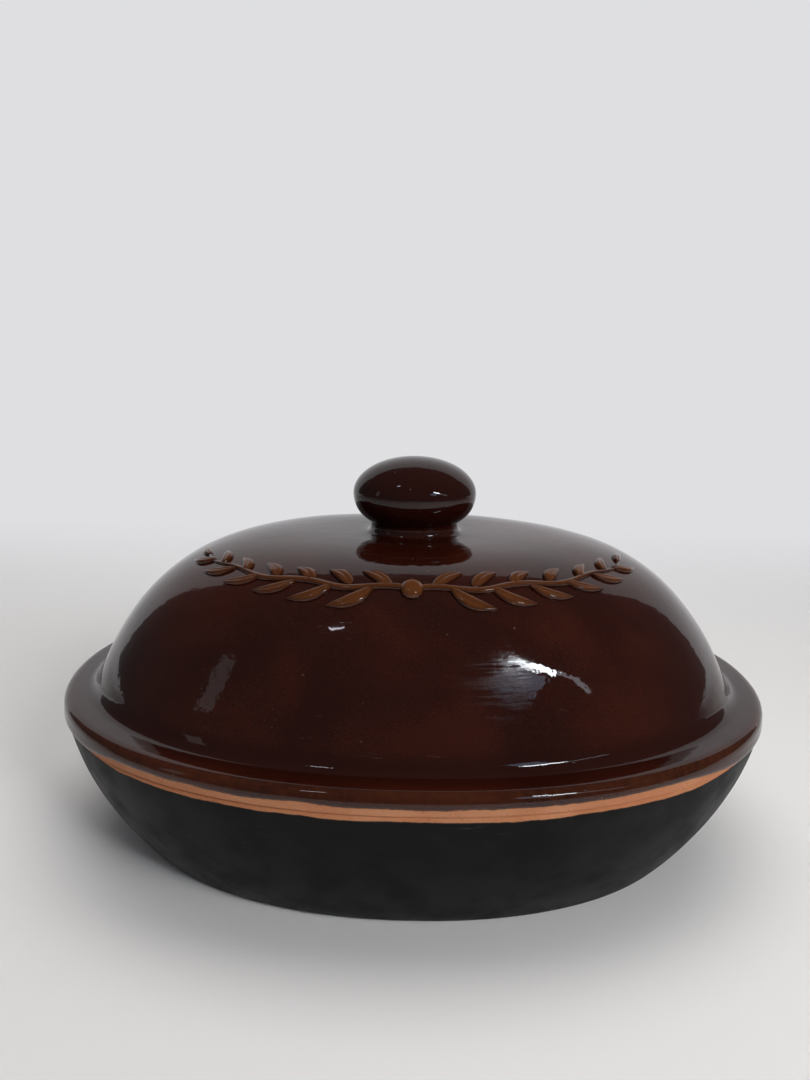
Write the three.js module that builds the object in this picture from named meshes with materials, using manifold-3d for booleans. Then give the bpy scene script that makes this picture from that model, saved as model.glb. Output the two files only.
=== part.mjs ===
// Oval stoneware sweet potato baker: a matte black bowl, a glazed domed lid with a knob, and a bed
// of loose baking stones on the bowl's floor.
// Millimetres, +Z up, +X along the length. The origin is on the table, under the middle of the bowl.

import * as THREE from 'three';
import { LoftGeometry } from 'three/addons/geometries/LoftGeometry.js';
import { mergeVertices } from 'three/addons/utils/BufferGeometryUtils.js';
import Module from 'manifold-3d';

// Plan outline, shared by the bowl and the lid
const LENGTH = 310; // over the lid's flange
const DEPTH = 208; // over the lid's flange
const OVAL_POWER = 2.14; // 2 is an ellipse, a higher power has fuller corners
const OVAL_SIDES = 60; // facets round each oval

// Bowl
const BOWL_HEIGHT = 62; // table to rim
const RIM_INSET = 1; // the flange overhangs the rim by this
const RIM_THICKNESS = 9;
const RIM_RADIUS = 1.2;
const FOOT_LENGTH = 245;
const FOOT_DEPTH = 161;
const FOOT_RADIUS = 3;
const FOOT_RING_WIDTH = 10;
const FOOT_RECESS = 2; // hollow under the base, inside the foot ring
const FLOOR_THICKNESS = 7; // clay above the hollow
const WALL_FULLNESS = 0.19; // bulge of the outer wall, as a share of its run from foot to rim
const FLOOR_SWEEP = 0.55; // how far the floor stays level towards the mouth, as a share of the run
const WALL_SWEEP = 0.92; // how far out the inner wall turns up, as a share of the run
const WALL_TURN = 0.42; // how high the inner wall turns up, as a share of the rise

// Lid
const SEAT_GAP = 0.3; // lid flange to bowl rim
const FLANGE_WIDTH = 13.5; // outer edge to the foot of the dome
const FLANGE_THICKNESS = 9;
const FLANGE_TOP_RADIUS = 4.5;
const FLANGE_BOTTOM_RADIUS = 1.2;
const DOME_HEIGHT = 67; // flange top to crown
const DOME_FLATNESS = 4.4; // power of the dome's spread: higher keeps the crown flat for longer
const DOME_STEEPNESS = 1.1; // power of the dome's height: higher stands the wall up at its foot
const DOME_FILLET = 3.5; // hollow where the dome rises from the flange
const LID_WALL = 6.5;
const LIP_DEPTH = 7; // the locating lip reaches this far into the bowl's mouth
const LIP_CLEARANCE = 2;
const LIP_THICKNESS = 5.5;
const LIP_RADIUS = 1.5;

// Knob
const KNOB_LENGTH = 53.5;
const KNOB_DEPTH = 43;
const KNOB_HEIGHT = 32.5; // crown of the dome to the top of the knob
const KNOB_CAP_HEIGHT = 15.5; // widest line to the top
const KNOB_TUCK = 8; // the cap's side drops this far below the widest line before it tucks in
const NECK_LENGTH = 38;
const NECK_DEPTH = 30.5;
const NECK_HEIGHT = 4.5; // crown of the dome to the top of the neck
const NECK_FLARE = 2; // the neck spreads by this where it meets the dome
const NECK_ROOT = 3; // the neck starts this far inside the dome's wall

// Baking stones
const STONE_LENGTH = 28; // the largest stone
const STONE_WIDTH = 24;
const STONE_HEIGHT = 18;
const STONE_SPREAD = 0.14; // the smallest stone is smaller by this share
const STONE_LUMP = 0.1; // depth of a stone's flats, as a share of its radius
const STONE_TILT = 0.16; // radians
const STONE_GAP = 1.6; // between neighbours, and to the wall
const STONE_SEAT = 0.4; // stone to bowl

// An oval is a pair of half sizes: a along X and b along Y.
const outline = { a: LENGTH / 2, b: DEPTH / 2 };
const rim = inset(outline, RIM_INSET);
const mouth = inset(rim, RIM_THICKNESS);
const foot = { a: FOOT_LENGTH / 2, b: FOOT_DEPTH / 2 };
const floorEdge = inset(foot, RIM_THICKNESS + FLOOR_THICKNESS);
const domeFoot = inset(outline, FLANGE_WIDTH);
const lipOuter = inset(mouth, LIP_CLEARANCE);
const lipInner = inset(lipOuter, LIP_THICKNESS);

const floorLevel = FOOT_RECESS + FLOOR_THICKNESS;
const seatLevel = BOWL_HEIGHT + SEAT_GAP;
const flangeTop = seatLevel + FLANGE_THICKNESS;
const crownLevel = flangeTop + DOME_HEIGHT;

const brownGlaze = new THREE.MeshStandardMaterial({ color: 0x2b120b, roughness: 0.12, metalness: 0 });
const blackClay = new THREE.MeshStandardMaterial({ color: 0x1b1b1c, roughness: 0.62, metalness: 0 });

// The oval that lies the given distance inside another one.
function inset(oval, distance) {
  return { a: oval.a - distance, b: oval.b - distance };
}

// A ring is an oval at a height.
function ring(oval, z) {
  return { a: oval.a, b: oval.b, z };
}

function mix(first, second, share) {
  const at = (key) => first[key] + (second[key] - first[key]) * share;
  return { a: at('a'), b: at('b'), z: at('z') };
}

// Rings of a rounded corner that starts at one ring, heads for the corner and ends at another ring.
function corner(start, sharp, end, steps = 3) {
  return Array.from({ length: steps + 1 }, (_, i) => {
    const share = i / steps;
    return mix(mix(start, sharp, share), mix(sharp, end, share), share);
  });
}

// A closed skin over a list of rings, from the bottom of its outside upwards. The first and the last
// ring have no size, so they close it.
function loft(rings, power) {
  const spread = (value) => Math.sign(value) * Math.abs(value) ** (2 / power);
  const sections = rings.map(({ a, b, z }) =>
    Array.from({ length: OVAL_SIDES }, (_, i) => {
      const angle = (i / OVAL_SIDES) * 2 * Math.PI;
      return new THREE.Vector3(a * spread(Math.cos(angle)), b * spread(Math.sin(angle)), z);
    }));
  return new LoftGeometry(sections);
}

function named(name, geometry, material) {
  const mesh = new THREE.Mesh(geometry, material);
  mesh.name = name;
  return mesh;
}

const wasm = await Module();
wasm.setup();

function toSolid(geometry) {
  const bare = new THREE.BufferGeometry();
  bare.setAttribute('position', geometry.attributes.position);
  bare.setIndex(geometry.index);
  const merged = mergeVertices(bare, 1e-3);
  const vertProperties = merged.attributes.position.array;
  return new wasm.Manifold(new wasm.Mesh({ numProp: 3, vertProperties, triVerts: merged.index.array }));
}

function toGeometry(solid) {
  const { vertProperties, triVerts } = solid.getMesh();
  const geometry = new THREE.BufferGeometry();
  geometry.setAttribute('position', new THREE.BufferAttribute(vertProperties, 3));
  geometry.setIndex(new THREE.BufferAttribute(triVerts, 1));
  geometry.computeVertexNormals();
  return geometry;
}

// Bowl

// Section of the inner wall as (share of the run from the floor's edge to the mouth, height). It
// leaves the flat floor level and turns up into the wall.
const innerWall = new THREE.CubicBezierCurve(
  new THREE.Vector2(0, floorLevel),
  new THREE.Vector2(FLOOR_SWEEP, floorLevel),
  new THREE.Vector2(WALL_SWEEP, floorLevel + (BOWL_HEIGHT - floorLevel) * WALL_TURN),
  new THREE.Vector2(1, BOWL_HEIGHT - RIM_RADIUS),
);

function innerRing({ x, y }) {
  return ring(mix(floorEdge, mouth, x), y);
}

// Outer wall: leans out from the foot to the rim with an even bulge.
function outerRing(z) {
  const up = z / BOWL_HEIGHT;
  return ring(mix(foot, rim, up + WALL_FULLNESS * 4 * up * (1 - up)), z);
}

function bowlGeometry() {
  const wallSteps = 9;
  const hollow = inset(foot, FOOT_RADIUS + FOOT_RING_WIDTH);
  const wallTop = BOWL_HEIGHT - RIM_RADIUS;
  const rings = [
    ring(inset(hollow, FOOT_RECESS), FOOT_RECESS),
    ring(hollow, 0),
    ...corner(ring(inset(foot, FOOT_RADIUS), 0), ring(foot, 0), outerRing(FOOT_RADIUS)),
  ];
  for (let i = 1; i < wallSteps; i++) {
    rings.push(outerRing(FOOT_RADIUS + ((wallTop - FOOT_RADIUS) * i) / wallSteps));
  }
  const rimOuter = ring(inset(rim, RIM_RADIUS), BOWL_HEIGHT);
  const rimInner = ring(inset(mouth, -RIM_RADIUS), BOWL_HEIGHT);
  rings.push(...corner(outerRing(wallTop), ring(rim, BOWL_HEIGHT), rimOuter));
  rings.push(...corner(rimInner, ring(mouth, BOWL_HEIGHT), ring(mouth, wallTop)).slice(0, -1));
  rings.push(...innerWall.getSpacedPoints(wallSteps + 3).reverse().map(innerRing));
  return loft([centre(FOOT_RECESS), ...rings, centre(floorLevel)], OVAL_POWER);
}

function centre(z) {
  return { a: 0, b: 0, z };
}

// Lid

// Section of half a dome, from its crown to its foot.
class DomeCurve extends THREE.Curve {
  constructor(spread, height) {
    super();
    this.spread = spread;
    this.height = height;
  }

  getPoint(t, target = new THREE.Vector2()) {
    const angle = (t * Math.PI) / 2;
    const outward = Math.sin(angle) ** (2 / DOME_FLATNESS);
    const upward = Math.max(0, Math.cos(angle)) ** (2 / DOME_STEEPNESS);
    return target.set(this.spread * outward, this.height * upward);
  }
}

// Rings of a dome from its crown down to the given height above its foot.
function domeRings(base, baseLevel, height, lowest, steps) {
  const section = new DomeCurve(base.b, height).getSpacedPoints(steps);
  return section.filter(({ y }) => y > lowest).map(({ x, y }) =>
    ring({ a: (base.a * x) / base.b, b: x }, baseLevel + y));
}

function flangeRings(domeEnd) {
  const edgeLow = ring(outline, seatLevel + FLANGE_BOTTOM_RADIUS);
  const edgeHigh = ring(outline, flangeTop - FLANGE_TOP_RADIUS);
  const topOuter = ring(inset(outline, FLANGE_TOP_RADIUS), flangeTop);
  const topInner = ring(inset(domeFoot, -DOME_FILLET), flangeTop);
  const seatOuter = ring(inset(outline, FLANGE_BOTTOM_RADIUS), seatLevel);
  const lipLevel = seatLevel - LIP_DEPTH;
  const lipSide = lipLevel + LIP_RADIUS;
  const lipEndOuter = ring(inset(lipOuter, LIP_RADIUS), lipLevel);
  const lipEndInner = ring(inset(lipInner, -LIP_RADIUS), lipLevel);
  return [
    ...corner(domeEnd, ring(domeFoot, flangeTop), topInner, 4),
    ...corner(topOuter, ring(outline, flangeTop), edgeHigh, 4),
    ...corner(edgeLow, ring(outline, seatLevel), seatOuter),
    ring(lipOuter, seatLevel),
    ...corner(ring(lipOuter, lipSide), ring(lipOuter, lipLevel), lipEndOuter),
    ...corner(lipEndInner, ring(lipInner, lipLevel), ring(lipInner, lipSide)),
  ];
}

// The knob stands on the crown of the dome and starts inside the dome's wall.
function knobGeometry() {
  const capSteps = 8;
  const widest = crownLevel + KNOB_HEIGHT - KNOB_CAP_HEIGHT;
  const neckTop = crownLevel + NECK_HEIGHT;
  const root = crownLevel - NECK_ROOT;
  const cap = { a: KNOB_LENGTH / 2, b: KNOB_DEPTH / 2 };
  const neck = { a: NECK_LENGTH / 2, b: NECK_DEPTH / 2 };
  const spread = inset(neck, -NECK_FLARE);
  const rings = [ring(spread, root)];
  rings.push(...corner(ring(spread, crownLevel), ring(neck, crownLevel), ring(neck, neckTop)));
  rings.push(...corner(ring(neck, neckTop), ring(cap, widest - KNOB_TUCK), ring(cap, widest), 5).slice(1));
  for (let i = 1; i < capSteps; i++) {
    const angle = (i / capSteps) * (Math.PI / 2);
    const oval = { a: cap.a * Math.cos(angle), b: cap.b * Math.cos(angle) };
    rings.push(ring(oval, widest + KNOB_CAP_HEIGHT * Math.sin(angle)));
  }
  return loft([centre(root), ...rings, centre(crownLevel + KNOB_HEIGHT)], 2);
}

function lidGeometry() {
  const domeSteps = 14;
  const outside = domeRings(domeFoot, flangeTop, DOME_HEIGHT, DOME_FILLET, domeSteps);
  const inside = domeRings(inset(domeFoot, LID_WALL), flangeTop, DOME_HEIGHT - LID_WALL, 0, domeSteps);
  const rings = [...outside, ...flangeRings(outside.at(-1)), ...inside.reverse()];
  const shell = toSolid(loft(rings.reverse(), OVAL_POWER));
  return toGeometry(shell.add(toSolid(knobGeometry())));
}

// Baking stones

// Repeatable values from 0 to 1, so that every build lays the same stones.
function valueSource(seed) {
  let state = seed;
  return () => {
    state = (state * 16807) % 2147483647;
    return (state - 1) / 2147483646;
  };
}

// A river pebble: a rounded stone with soft flats, turned and tilted as it happened to fall.
function stoneGeometry(next) {
  const centred = () => 2 * next() - 1;
  const geometry = new THREE.IcosahedronGeometry(1, 1);
  const direction = () => new THREE.Vector3(centred(), centred(), centred()).normalize();
  const flats = Array.from({ length: 4 }, direction);
  const position = geometry.attributes.position;
  const point = new THREE.Vector3();
  for (let i = 0; i < position.count; i++) {
    point.fromBufferAttribute(position, i);
    const facing = Math.max(...flats.map((flat) => flat.dot(point)));
    point.multiplyScalar(1 - STONE_LUMP * facing ** 4);
    position.setXYZ(i, point.x, point.y, point.z);
  }
  const halfSize = (largest) => (largest / 2) * (1 - STONE_SPREAD * next());
  geometry.scale(halfSize(STONE_LENGTH), halfSize(STONE_WIDTH), halfSize(STONE_HEIGHT));
  geometry.rotateX(STONE_TILT * centred());
  geometry.rotateY(STONE_TILT * centred());
  geometry.rotateZ(Math.PI * next());
  return geometry;
}

// Lowers a stone over a place until it lies on the bowl.
function layStone(geometry, place, bowl) {
  const plumb = new THREE.Raycaster();
  const down = new THREE.Vector3(0, 0, -1);
  const point = new THREE.Vector3();
  const position = geometry.attributes.position;
  let lift = 0;
  for (let i = 0; i < position.count; i++) {
    point.set(place.x + position.getX(i), place.y + position.getY(i), BOWL_HEIGHT * 2);
    plumb.set(point, down);
    const [under] = plumb.intersectObject(bowl);
    lift = Math.max(lift, under.point.z + STONE_SEAT - position.getZ(i));
  }
  return geometry.translate(place.x, place.y, lift);
}

// Places for the stones: oval rows inside each other, then a straight row down the middle.
function stonePlaces() {
  const pitch = STONE_LENGTH + STONE_GAP;
  const bedLevel = floorLevel + STONE_HEIGHT / 2;
  const bed = innerRing(innerWall.getPoints(60).find(({ y }) => y >= bedLevel));
  const places = [];
  let row = inset(bed, pitch / 2);
  while (row.b >= pitch / 2) {
    const curve = new THREE.EllipseCurve(0, 0, row.a, row.b, 0, 2 * Math.PI);
    const count = Math.floor(curve.getLength() / pitch);
    places.push(...curve.getSpacedPoints(count).slice(1));
    row = inset(row, pitch);
  }
  if (row.b >= 0) {
    const line = new THREE.LineCurve(new THREE.Vector2(-row.a, 0), new THREE.Vector2(row.a, 0));
    places.push(...line.getSpacedPoints(Math.floor(line.getLength() / pitch)));
  }
  return places;
}

function stoneMeshes(bowl) {
  const next = valueSource(20260);
  return stonePlaces().map((place, i) => {
    const grey = 0.2 + 0.2 * next();
    const color = new THREE.Color(grey, grey * 0.97, grey * 0.92);
    const material = new THREE.MeshStandardMaterial({ color, roughness: 0.8, metalness: 0 });
    const name = `baking_stone_${String(i + 1).padStart(2, '0')}`;
    return named(name, layStone(stoneGeometry(next), place, bowl), material);
  });
}

const baker = new THREE.Group();
baker.name = 'sweet_potato_baker';
const bowlMesh = named('bowl', bowlGeometry(), blackClay);
baker.add(bowlMesh);
baker.add(named('lid', lidGeometry(), brownGlaze));
baker.add(...stoneMeshes(bowlMesh));

export default baker;
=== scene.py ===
"""Oval stoneware sweet potato baker: a glazed domed lid on a black bowl with a bed of baking stones."""

import math
from bisect import bisect_right
from collections import namedtuple
from contextlib import contextmanager

import bpy
from bpy.props import FloatProperty, FloatVectorProperty, IntProperty, PointerProperty
from mathutils import Matrix, Vector
from mathutils import noise as turbulence


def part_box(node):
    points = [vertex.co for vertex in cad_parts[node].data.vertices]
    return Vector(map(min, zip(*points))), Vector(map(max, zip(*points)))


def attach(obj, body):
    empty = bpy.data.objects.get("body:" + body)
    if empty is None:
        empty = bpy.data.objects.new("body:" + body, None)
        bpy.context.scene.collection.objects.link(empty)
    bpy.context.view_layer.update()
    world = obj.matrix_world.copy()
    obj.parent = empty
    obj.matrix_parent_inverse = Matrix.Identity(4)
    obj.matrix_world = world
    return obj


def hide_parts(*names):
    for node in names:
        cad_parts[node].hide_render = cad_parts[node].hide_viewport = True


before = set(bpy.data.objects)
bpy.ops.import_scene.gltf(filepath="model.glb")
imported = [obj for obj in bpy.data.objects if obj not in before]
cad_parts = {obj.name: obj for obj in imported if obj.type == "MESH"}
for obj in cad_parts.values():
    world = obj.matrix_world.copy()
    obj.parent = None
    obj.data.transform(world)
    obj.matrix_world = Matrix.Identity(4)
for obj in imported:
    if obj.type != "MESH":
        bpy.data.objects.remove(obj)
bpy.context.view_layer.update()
LID_LOW, LID_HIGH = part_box("lid")
BOWL_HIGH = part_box("bowl")[1]
STONE_NODES = sorted(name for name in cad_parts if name.startswith("baking_stone_"))

bl_info = {
    "name": "Sweet Potato Baker",
    "version": (1, 0, 0),
    "blender": (4, 5, 0),
    "location": "View3D > Sidebar > Baker",
    "description": "Models an oval stoneware baker with a glazed lid, a black bowl and baking stones",
    "category": "Add Mesh",
}

MM = 0.001
Ring = namedtuple("Ring", "a b z")
MIDDLE = Ring(0.0, 0.0, 0.0)

RIM_CLAY = 0.6  # millimetres of bare clay round a rim where the band has faded out
WELL_COATED = -4.0  # millimetres past the end of a coat, well inside it
BAND_FADE = (0.57, 0.76)  # how far a wall faces the front or the back where the band fades in
GLAZE_BEAD = 0.3 * MM  # how far the end of the glaze stands out
BOWL_DENTS, DOME_DENTS = 0.07, 0.055  # metres between the dents of a hand-made wall
TO_MIDDLE = (0.02, 0.25, 0.5, 0.75, 0.92)  # how far out the rings of a flat base lie, as shares of its edge
CURVE_STEPS, SECTION_STEPS, GARLAND_STEPS, STEM_CUTS = 240, 400, 720, 160
SWEEP_RADIUS, SWEEP_SEGMENTS = 0.08, 16  # the bend from the floor into the backdrop
TINY = 1e-6


def length(name, description, default):
    return FloatProperty(
        name=name, description=description, default=default, min=0.0, precision=4, unit="LENGTH",
        subtype="DISTANCE"
    )


def number(name, description, default):
    return FloatProperty(name=name, description=description, default=default, min=0.0)


def colour(name, description, default):
    return FloatVectorProperty(
        name=name, description=description, default=default, size=3, min=0.0, max=1.0, subtype="COLOR"
    )


class BakerOutline(bpy.types.PropertyGroup):
    length: length("Length", "Over the lid's flange", LID_HIGH.x - LID_LOW.x)
    depth: length("Depth", "Over the lid's flange", LID_HIGH.y - LID_LOW.y)
    power: number("Fullness", "2 is an ellipse, a higher power has fuller corners", 2.14)
    sides: IntProperty(name="Sides", description="Facets round each oval", default=256, min=24)
    wander: length("Handmade wander", "How far the hand-thrown walls leave the true oval", 1.2 * MM)


class BakerBowl(bpy.types.PropertyGroup):
    height: length("Height", "Table to rim", BOWL_HIGH.z)
    rim_inset: length("Rim inset", "The flange overhangs the rim by this", 1 * MM)
    rim_thickness: length("Rim thickness", "Width of the flat rim", 9 * MM)
    rim_radius: length("Rim radius", "Rounding of the rim's edges", 1.2 * MM)
    foot_length: length("Foot length", "Length of the oval that stands on the table", 245 * MM)
    foot_depth: length("Foot depth", "Depth of the oval that stands on the table", 161 * MM)
    foot_radius: length("Foot radius", "Rounding where the wall meets the table", 3 * MM)
    foot_ring_width: length("Foot ring width", "Width of the ring that touches the table", 10 * MM)
    foot_recess: length("Foot recess", "Hollow under the base, inside the foot ring", 2 * MM)
    floor_thickness: length("Floor thickness", "Clay above the hollow", 7 * MM)
    wall_fullness: number("Wall fullness", "Bulge of the outer wall, as a share of its run", 0.19)
    floor_sweep: number("Floor sweep", "How far the floor stays level, as a share of the run", 0.55)
    wall_sweep: number("Wall sweep", "How far out the inner wall turns up, as a share of the run", 0.92)
    wall_turn: number("Wall turn", "How high the inner wall turns up, as a share of the rise", 0.42)
    clay_band: length("Clay band", "Bare clay left under the rim at the front and the back", 2.2 * MM)
    black: colour("Black", "Colour of the matte black coat", (0.0030, 0.0030, 0.0031))
    black_worn: colour("Worn black", "Colour where the coat is thin or rubbed", (0.0085, 0.0082, 0.0080))
    clay: colour("Clay", "Colour of the bare fired clay", (0.42, 0.163, 0.074))
    clay_pale: colour("Pale clay", "Colour of the clay's sandy grains", (0.53, 0.255, 0.135))


class BakerLid(bpy.types.PropertyGroup):
    seat_gap: length("Seat gap", "Lid flange to bowl rim", LID_LOW.z + 7 * MM - BOWL_HIGH.z)
    flange_width: length("Flange width", "Outer edge to the foot of the dome", 13.5 * MM)
    flange_thickness: length("Flange thickness", "Seat to the flange's top", 9 * MM)
    flange_top_radius: length("Flange top radius", "Rounding of the flange's upper edge", 4.5 * MM)
    flange_bottom_radius: length("Flange bottom radius", "Rounding of the flange's lower edge", 1.2 * MM)
    dome_height: length("Dome height", "Flange top to crown", 67 * MM)
    dome_flatness: number("Dome flatness", "Higher keeps the crown flat for longer", 4.4)
    dome_steepness: number("Dome steepness", "Higher stands the wall up at its foot", 1.1)
    dome_fillet: length("Dome fillet", "Hollow where the dome rises from the flange", 4.2 * MM)
    wall: length("Wall", "Thickness of the dome", 6.5 * MM)
    lip_depth: length("Lip depth", "The locating lip reaches this far into the bowl", 7 * MM)
    lip_clearance: length("Lip clearance", "Locating lip to the bowl's mouth", 2 * MM)
    lip_thickness: length("Lip thickness", "Thickness of the locating lip", 5.5 * MM)
    lip_radius: length("Lip radius", "Rounding of the lip's end", 1.5 * MM)
    knob_length: length("Knob length", "Knob from left to right", 53.5 * MM)
    knob_depth: length("Knob depth", "Knob from front to back", 43 * MM)
    knob_height: length("Knob height", "Crown of the dome to the top of the knob", 32.5 * MM)
    knob_cap_height: length("Knob cap height", "Widest line to the top", 15.5 * MM)
    knob_tuck: length("Knob tuck", "How far the cap's side drops before it tucks in", 8 * MM)
    neck_length: length("Neck length", "Neck from left to right", 38 * MM)
    neck_depth: length("Neck depth", "Neck from front to back", 30.5 * MM)
    neck_height: length("Neck height", "Crown of the dome to the top of the neck", 4.5 * MM)
    neck_flare: length("Neck flare", "How far the neck spreads where it meets the dome", 2 * MM)
    clay_band: length("Clay band", "Bare clay left at the flange's foot at the front and the back", 3.2 * MM)
    # Unmixed, this colour also covers the whole knob, where it is painted shade.
    glaze: colour("Glaze", "Colour of the glaze where it lies thick", (0.0150, 0.0026, 0.0013))
    glaze_warm: colour("Warm glaze", "Colour of the glaze's reddish clouds", (0.0310, 0.0056, 0.0024))
    glaze_amber: colour("Amber glaze", "Colour where the glaze breaks over an edge", (0.088, 0.027, 0.0062))


class BakerGarland(bpy.types.PropertyGroup):
    height_share: number("Place", "Where the garland lies, as a share of the way from crown to foot", 0.63)
    reach: length("Reach", "Half the garland's length, along the dome", 103 * MM)
    pairs: IntProperty(name="Leaf pairs", description="Pairs of leaves on each side", default=6, min=1)
    leaf_length: length("Leaf length", "Stalk to tip", 17 * MM)
    leaf_width: length("Leaf width", "Across the middle of a leaf", 8.2 * MM)
    leaf_rise: length("Leaf rise", "How far a leaf stands out of the dome", 2.3 * MM)
    stem_radius: length("Stem radius", "Half the thickness of the stem", 1.6 * MM)
    bud_radius: length("Bud radius", "Half the width of the round bud in the middle", 4.6 * MM)
    root: length("Root", "How far the ornament reaches into the dome", 1.2 * MM)


class BakerStones(bpy.types.PropertyGroup):
    slate: colour("Slate", "Colour of the dark stones", (0.060, 0.062, 0.066))
    ash: colour("Ash", "Colour of the grey stones", (0.150, 0.145, 0.138))
    umber: colour("Umber", "Colour of the brown stones", (0.105, 0.070, 0.047))
    fleck: colour("Fleck", "Colour of the pale mineral flecks", (0.42, 0.40, 0.37))


class BakerStage(bpy.types.PropertyGroup):
    lens: FloatProperty(
        name="Lens", description="Focal length on a 36 mm sensor", default=28.33, min=1.0, unit="CAMERA"
    )
    camera_place: FloatVectorProperty(
        name="Camera place", description="Where the camera stands", default=(0.00304, -0.3625, 0.23353),
        size=3, subtype="TRANSLATION", unit="LENGTH"
    )
    camera_up: FloatVectorProperty(
        name="Camera up", description="Direction of the picture's upright",
        default=(-0.01893, 0.26505, 0.96405), size=3, subtype="DIRECTION"
    )
    camera_sight: FloatVectorProperty(
        name="Camera sight", description="Direction that the camera looks in",
        default=(-0.01868, 0.96396, -0.26539), size=3, subtype="DIRECTION"
    )
    backdrop_place: length("Backdrop place", "How far behind the baker the backdrop rises", 0.62)
    backdrop_height: length("Backdrop height", "Floor to the top of the backdrop", 1.35)
    backdrop_width: length("Backdrop width", "Width of the backdrop", 2.5)
    floor_reach: length("Floor reach", "How far the floor runs to the front and the sides", 3.0)
    floor: colour("Floor", "Colour of the floor", (0.80, 0.79, 0.78))
    backdrop: colour("Backdrop", "Colour of the backdrop", (0.74, 0.74, 0.76))


# Rings and skins


def inset(ring, distance, z=None):
    return Ring(ring.a - distance, ring.b - distance, ring.z if z is None else z)


def lifted(ring, z):
    return Ring(ring.a, ring.b, z)


def mix(first, second, share):
    return Ring(*(p + (q - p) * share for p, q in zip(first, second)))


def rounded(start, sharp, end, steps):
    """Rings of a rounded corner that starts at one ring, heads for the corner and ends at another ring."""
    shares = [i / steps for i in range(steps + 1)]
    return [mix(mix(start, sharp, s), mix(sharp, end, s), s) for s in shares]


def even_points(points, count):
    """The same section, as points that are evenly spaced along it."""
    runs = [0.0]
    for p, q in zip(points, points[1:]):
        runs.append(runs[-1] + math.dist(p, q))
    spaced, at = [], 0
    for i in range(count + 1):
        goal = runs[-1] * i / count
        while at < len(runs) - 2 and runs[at + 1] < goal:
            at += 1
        share = (goal - runs[at]) / max(runs[at + 1] - runs[at], 1e-12)
        spaced.append(tuple(p + (q - p) * share for p, q in zip(points[at], points[at + 1])))
    return spaced


def spread(value, power):
    return math.copysign(abs(value) ** (2.0 / power), value)


def deselect():
    if bpy.context.object and bpy.context.object.mode != "OBJECT":
        bpy.ops.object.mode_set(mode="OBJECT")
    bpy.ops.object.select_all(action="DESELECT")


def only(piece):
    deselect()
    piece.select_set(True)
    bpy.context.view_layer.objects.active = piece


@contextmanager
def editing(choice=None):
    """Edit mode on the active piece, after selecting all or none of it if a choice is given."""
    bpy.ops.object.mode_set(mode="EDIT")
    if choice:
        bpy.ops.mesh.select_all(action=choice)
    yield
    bpy.ops.object.mode_set(mode="OBJECT")


def choose_points(piece, wanted):
    """Selects the points that pass a test."""
    bpy.context.tool_settings.mesh_select_mode = (True, False, False)
    for point in piece.data.vertices:
        point.select = wanted(point)


def choose_edges(piece, wanted):
    """Selects the edges whose two ends pass a test."""
    bpy.context.tool_settings.mesh_select_mode = (False, True, False)
    with editing("DESELECT"):
        pass
    points = piece.data.vertices
    for edge in piece.data.edges:
        edge.select = wanted(*(points[i].co for i in edge.vertices))


def apply_modifier(piece, kind, name, **settings):
    only(piece)
    modifier = piece.modifiers.new(name, kind)
    for key, value in settings.items():
        setattr(modifier, key, value)
    bpy.ops.object.modifier_apply(modifier=name)


def close_ring(piece, start, count):
    """Draws one ring of points together into a pole."""
    only(piece)
    choose_points(piece, lambda point: start <= point.index < start + count)
    with editing():
        bpy.ops.mesh.merge(type="CENTER")


def draw_skin(name, rings, outline):
    """A closed skin over a list of rings, drawn as on a wheel: one ring is pulled into the next."""
    deselect()
    bpy.ops.mesh.primitive_circle_add(vertices=outline.sides, radius=1.0, location=(0.0, 0.0, 0.0))
    piece = bpy.context.object
    piece.name = piece.data.name = name
    last = rings[0]
    for point in piece.data.vertices:
        x, y = point.co.x, point.co.y
        point.co = (last.a * spread(x, outline.power), last.b * spread(y, outline.power), last.z)
    with editing("SELECT"):
        for ring in rings[1:]:
            bpy.ops.mesh.extrude_region_move(TRANSFORM_OT_translate={"value": (0.0, 0.0, ring.z - last.z)})
            bpy.ops.transform.resize(
                value=(ring.a / last.a, ring.b / last.b, 1.0), center_override=(0.0, 0.0, ring.z)
            )
            last = ring
    close_ring(piece, len(piece.data.vertices) - outline.sides, outline.sides)
    close_ring(piece, 0, outline.sides)
    with editing("SELECT"):
        bpy.ops.mesh.normals_make_consistent(inside=False)
    return piece


def wander(piece, weights, strength, size):
    """Lets a hand-made wall leave its true shape a little, where the weights allow it."""
    group = piece.vertex_groups.new(name="wander")
    for index, weight in enumerate(weights):
        if weight > 0.0:
            group.add([index], weight, "REPLACE")
    clouds = bpy.data.textures.new(piece.name + "_wander", "CLOUDS")
    clouds.noise_scale = size
    clouds.noise_depth = 1
    apply_modifier(
        piece, "DISPLACE", "Wander", texture=clouds, texture_coords="LOCAL", strength=strength,
        mid_level=0.5, vertex_group="wander"
    )
    piece.vertex_groups.clear()


def write_values(piece, name, values):
    attribute = piece.data.attributes.new(name, "FLOAT", "POINT")
    attribute.data.foreach_set("value", values)


def between(value, low, high):
    share = min(1.0, max(0.0, (value - low) / (high - low)))
    return share * share * (3.0 - 2.0 * share)


def inset_of(x, y, outline):
    """How far a point lies inside the outline, measured towards the middle."""
    a, b, power = outline.length / 2, outline.depth / 2, outline.power
    share = ((abs(x) / a) ** power + (abs(y) / b) ** power) ** (1.0 / power)
    if share < TINY:
        return b
    across = Vector((abs(x) / a**2, abs(y) / b**2)).normalized()
    return (1.0 - share) * (abs(x) * across.x + abs(y) * across.y) / share


def line_wander(x, y, seed):
    """Slow unevenness of a hand-wiped coat line, in millimetres, the same at every build."""
    slow = turbulence.noise(Vector((x * 38.0, y * 38.0, seed)))
    quick = turbulence.noise(Vector((x * 120.0, y * 120.0, seed + 5.0)))
    return 0.85 * slow + 0.35 * quick


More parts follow.
